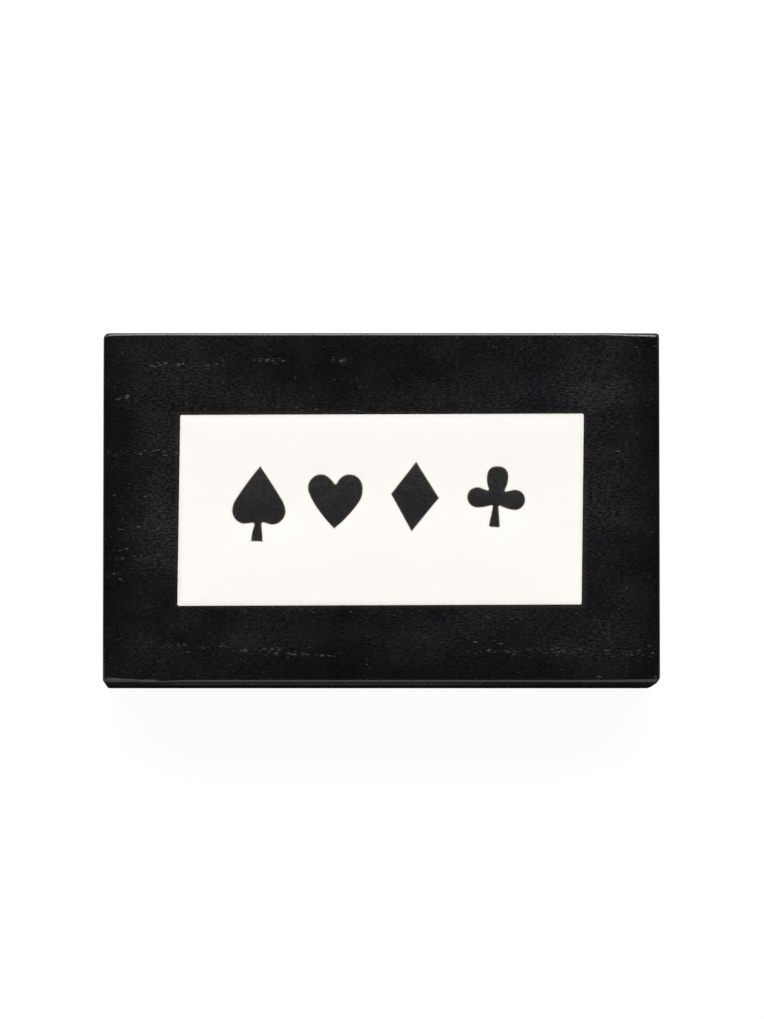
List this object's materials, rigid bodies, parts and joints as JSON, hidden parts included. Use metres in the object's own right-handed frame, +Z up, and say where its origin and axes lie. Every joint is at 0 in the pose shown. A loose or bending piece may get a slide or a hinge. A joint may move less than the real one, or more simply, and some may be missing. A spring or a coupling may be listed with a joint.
{
  "type": "playing card box",
  "caption": "Low lacquered wooden box with a hinged lid, for two decks of playing cards side by side; an oblong pale plate with the card suits is let into the lid.",
  "frame": {"origin": "under the middle of the box, on the surface that it stands on", "axes": "+X along the box, to the right as seen from the front; -Y is the front, where the lid opens; +Z up"},
  "size_m": [0.17, 0.107, 0.038],
  "materials": {
    "lacquered_wood": "black lacquer, polished over open grain",
    "stained_board": "black stain, unpolished",
    "lining_felt": "charcoal wool felt",
    "foot_felt": "black wool felt",
    "pale_plate": "warm white cast resin, polished flat",
    "dark_inlay": "dark wood, filled and polished",
    "hinge_brass": "satin brass",
    "pin_steel": "drawn steel wire",
    "screw_brass": "turned brass"
  },
  "bodies": {
    "base": {"base_front_wall": "lacquered_wood", "base_back_wall": "lacquered_wood", "base_left_wall": "lacquered_wood", "base_right_wall": "lacquered_wood", "base_floor": "stained_board", "divider": "lacquered_wood", "floor_lining_left": "lining_felt", "floor_lining_right": "lining_felt", "foot_felt": "foot_felt", "hinge_base_leaf_left": "hinge_brass", "hinge_base_leaf_right": "hinge_brass", "hinge_pin_left": "pin_steel", "hinge_pin_right": "pin_steel", "base_leaf_screws": "screw_brass"},
    "lid": {"lid_board": "lacquered_wood", "lid_front_rail": "lacquered_wood", "lid_back_rail": "lacquered_wood", "lid_left_rail": "lacquered_wood", "lid_right_rail": "lacquered_wood", "lid_lining": "lining_felt", "inlay_plate": "pale_plate", "spade_inlay": "dark_inlay", "heart_inlay": "dark_inlay", "diamond_inlay": "dark_inlay", "club_inlay": "dark_inlay", "hinge_lid_leaf_left": "hinge_brass", "hinge_lid_leaf_right": "hinge_brass", "lid_leaf_screws": "screw_brass"}
  },
  "joints": [
    {"name": "lid_hinge", "type": "hinge", "parent": "base", "child": "lid", "pos_m": [0, 0.0523, 0.024], "axis": [-1, 0, 0], "range_deg": [0, 100]}
  ]
}
